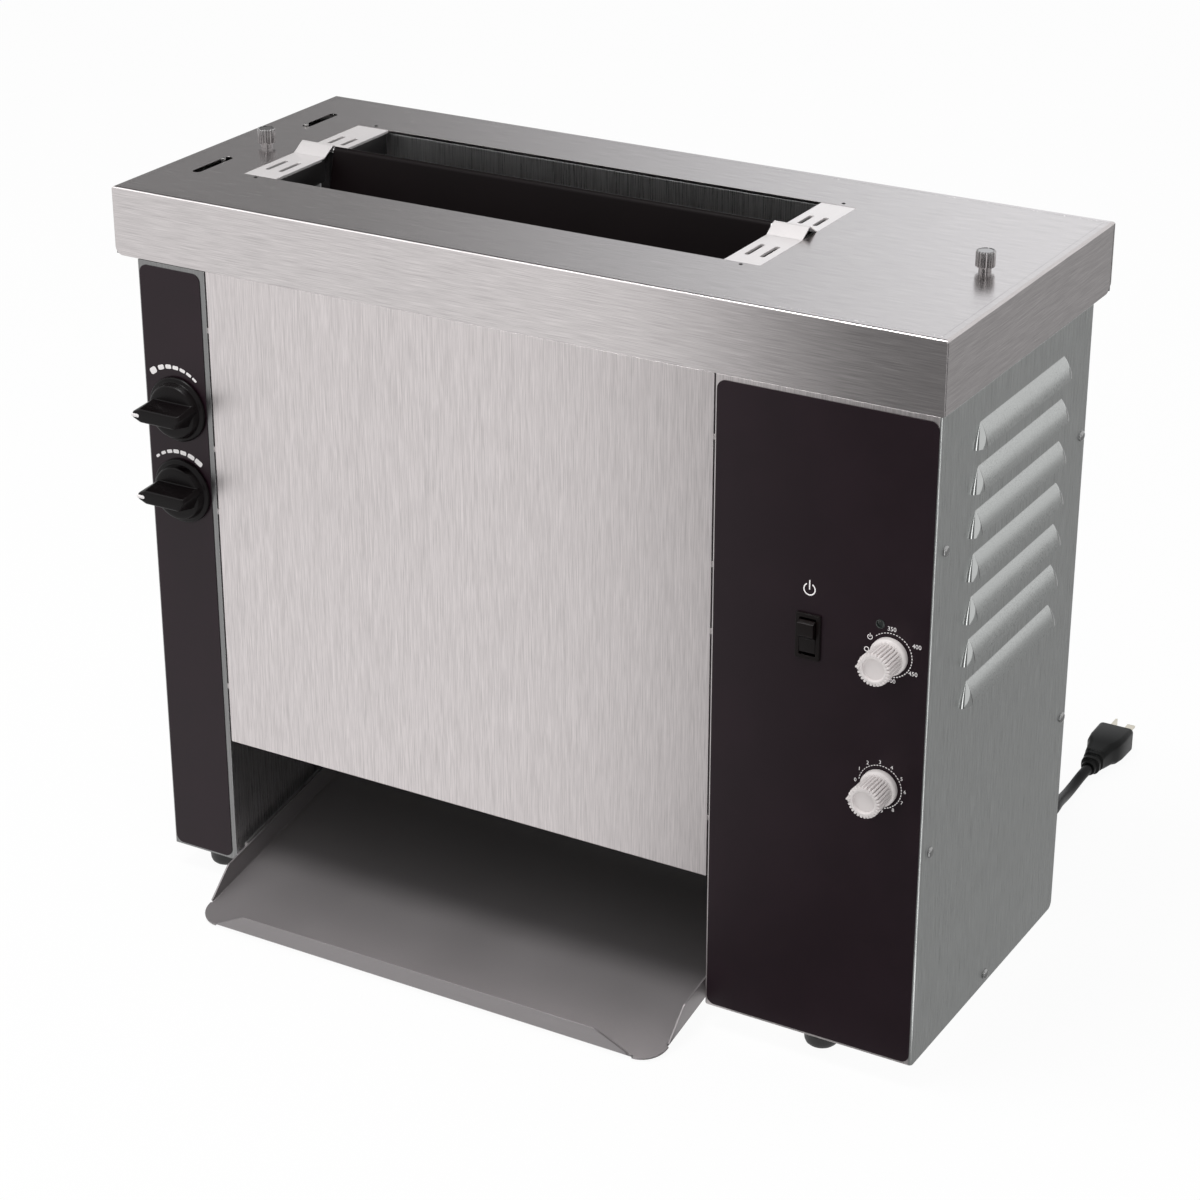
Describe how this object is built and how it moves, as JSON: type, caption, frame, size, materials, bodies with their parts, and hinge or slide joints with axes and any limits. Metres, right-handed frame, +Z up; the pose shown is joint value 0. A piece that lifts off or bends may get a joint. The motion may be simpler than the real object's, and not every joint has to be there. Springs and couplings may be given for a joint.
{
  "type": "conveyor toaster",
  "caption": "Bench conveyor toaster: buns drop into the top opening, ride down beside a vertical hot platen and slide out into the front tray.",
  "frame": {"origin": "under the middle of the toaster, on the surface that it stands on", "axes": "+X to the right as the user sees it, +Y to the back, +Z up"},
  "size_m": [0.6256, 0.6102, 0.5367],
  "materials": {
    "brushed_panel": "brushed stainless sheet",
    "plated_steel": "plain bright steel",
    "dark_overlay": "dark satin film",
    "black_knob": "black moulded plastic",
    "light_knob": "light grey moulded plastic",
    "switch_black": "black moulded plastic",
    "lamp_lens": "clear lens",
    "rubber_feet": "black rubber",
    "cast_platen": "machined cast aluminium",
    "release_film": "coated glass cloth",
    "silicone_belt": "silicone belt",
    "turned_aluminium": "turned",
    "bronze_bush": "sintered bronze",
    "motor_paint": "dark enamel",
    "board_green": "circuit board",
    "cord_rubber": "black rubber",
    "plug_brass": "plated brass"
  },
  "bodies": {
    "cabinet": {"adjuster_supports": "plated_steel", "back_panel": "brushed_panel", "base_pan": "brushed_panel", "cartridge_heaters": "plated_steel", "chute": "brushed_panel", "control_board": "board_green", "control_housing": "brushed_panel", "control_overlay": "dark_overlay", "cord_coil": "cord_rubber", "dial_controls": "switch_black", "fan_housing": "switch_black", "feet": "rubber_feet", "front_bun_guide": "brushed_panel", "front_panel": "brushed_panel", "gearmotor": "motor_paint", "indicator_lamp": "lamp_lens", "knob_housing": "brushed_panel", "knob_overlay": "dark_overlay", "left_side_panel": "brushed_panel", "panel_screws": "plated_steel", "platen": "cast_platen", "platen_brackets": "brushed_panel", "plug": "cord_rubber", "plug_blades": "plug_brass", "power_cord": "cord_rubber", "power_switch_body": "switch_black", "rear_bun_guide": "brushed_panel", "release_sheet": "release_film", "right_side_panel": "brushed_panel", "shaft_bushes": "bronze_bush", "sheet_rod": "plated_steel", "strain_relief": "cord_rubber", "tray_rails": "brushed_panel"},
    "lid": {"lid": "brushed_panel", "end_plates": "plated_steel", "plate_rivets": "plated_steel"},
    "left_thumb_screw": {"left_thumb_screw": "plated_steel"},
    "right_thumb_screw": {"right_thumb_screw": "plated_steel"},
    "catch_tray": {"catch_tray": "brushed_panel"},
    "crown_conveyor": {"crown_frame": "plated_steel", "crown_adjuster_bar": "plated_steel", "crown_belt": "silicone_belt"},
    "crown_drive": {"crown_drive_roller": "turned_aluminium", "crown_gear": "plated_steel"},
    "crown_idler": {"crown_idler_roller": "turned_aluminium"},
    "heel_conveyor": {"heel_frame": "plated_steel", "heel_adjuster_bar": "plated_steel", "heel_belt": "silicone_belt"},
    "heel_drive": {"heel_drive_roller": "turned_aluminium", "heel_gear": "plated_steel"},
    "heel_idler": {"heel_idler_roller": "turned_aluminium"},
    "pinion": {"drive_pinion": "plated_steel"},
    "crown_adjuster": {"crown_knob": "black_knob", "crown_adjusting_screw": "plated_steel"},
    "heel_adjuster": {"heel_knob": "black_knob", "heel_adjusting_screw": "plated_steel"},
    "fan": {"fan_rotor": "switch_black"},
    "rocker": {"power_rocker": "switch_black"},
    "temperature_dial": {"temperature_knob": "light_knob"},
    "speed_dial": {"speed_knob": "light_knob"}
  },
  "joints": [
    {"name": "lid_lift", "type": "slide", "parent": "cabinet", "child": "lid", "axis": [0, 0, 1], "range_m": [0, 0.08]},
    {"name": "left_thumb_screw_turn", "type": "hinge", "parent": "lid", "child": "left_thumb_screw", "pos_m": [-0.27675, 0.02772, 0.523], "axis": [0, 0, 1], "continuous": true},
    {"name": "right_thumb_screw_turn", "type": "hinge", "parent": "lid", "child": "right_thumb_screw", "pos_m": [0.27425, 0.02772, 0.523], "axis": [0, 0, 1], "continuous": true},
    {"name": "tray_slide", "type": "slide", "parent": "cabinet", "child": "catch_tray", "axis": [0, -1, 0], "range_m": [0, 0.24]},
    {"name": "crown_tilt", "type": "hinge", "parent": "cabinet", "child": "crown_conveyor", "pos_m": [0, -0.00788, 0.148], "axis": [1, 0, 0], "range_deg": [-0.75, 3.75]},
    {"name": "heel_tilt", "type": "hinge", "parent": "cabinet", "child": "heel_conveyor", "pos_m": [0, 0.08212, 0.148], "axis": [-1, 0, 0], "range_deg": [0, 4.5]},
    {"name": "crown_knob_turn", "type": "hinge", "parent": "cabinet", "child": "crown_adjuster", "pos_m": [-0.26635, -0.10238, 0.309], "axis": [0, 1, 0], "range_deg": [-37.5, 187.5]},
    {"name": "heel_knob_turn", "type": "hinge", "parent": "cabinet", "child": "heel_adjuster", "pos_m": [-0.26635, -0.10238, 0.37], "axis": [0, 1, 0], "range_deg": [0, 225]},
    {"name": "crown_drive_spin", "type": "hinge", "parent": "cabinet", "child": "crown_drive", "pos_m": [0, -0.00788, 0.148], "axis": [-1, 0, 0], "continuous": true},
    {"name": "heel_drive_spin", "type": "hinge", "parent": "cabinet", "child": "heel_drive", "pos_m": [0, 0.08212, 0.148], "axis": [-1, 0, 0], "continuous": true},
    {"name": "pinion_spin", "type": "hinge", "parent": "cabinet", "child": "pinion", "pos_m": [0.16125, -0.03182, 0.21378], "axis": [-1, 0, 0], "continuous": true},
    {"name": "crown_idler_spin", "type": "hinge", "parent": "crown_conveyor", "child": "crown_idler", "pos_m": [0, -0.00788, 0.448], "axis": [-1, 0, 0], "continuous": true},
    {"name": "heel_idler_spin", "type": "hinge", "parent": "heel_conveyor", "child": "heel_idler", "pos_m": [0, 0.08212, 0.448], "axis": [-1, 0, 0], "continuous": true},
    {"name": "fan_spin", "type": "hinge", "parent": "cabinet", "child": "fan", "pos_m": [0.23065, 0.12232, 0.383], "axis": [0, 1, 0], "continuous": true},
    {"name": "rocker_press", "type": "hinge", "parent": "cabinet", "child": "rocker", "pos_m": [0.22295, -0.10088, 0.3117], "axis": [-1, 0, 0], "range_deg": [0, 16]},
    {"name": "temperature_turn", "type": "hinge", "parent": "cabinet", "child": "temperature_dial", "pos_m": [0.27945, -0.10238, 0.3119], "axis": [0, 1, 0], "range_deg": [0, 264]},
    {"name": "speed_turn", "type": "hinge", "parent": "cabinet", "child": "speed_dial", "pos_m": [0.27655, -0.10238, 0.2188], "axis": [0, 1, 0], "range_deg": [0, 262]}
  ],
  "couplings": [
    {"joint": "crown_knob_turn", "follows": "crown_tilt", "ratio": 50},
    {"joint": "heel_knob_turn", "follows": "heel_tilt", "ratio": 50},
    {"joint": "heel_drive_spin", "follows": "crown_drive_spin", "ratio": -1},
    {"joint": "pinion_spin", "follows": "crown_drive_spin", "ratio": -1.8},
    {"joint": "crown_idler_spin", "follows": "crown_drive_spin", "ratio": 1},
    {"joint": "heel_idler_spin", "follows": "crown_drive_spin", "ratio": -1}
  ]
}
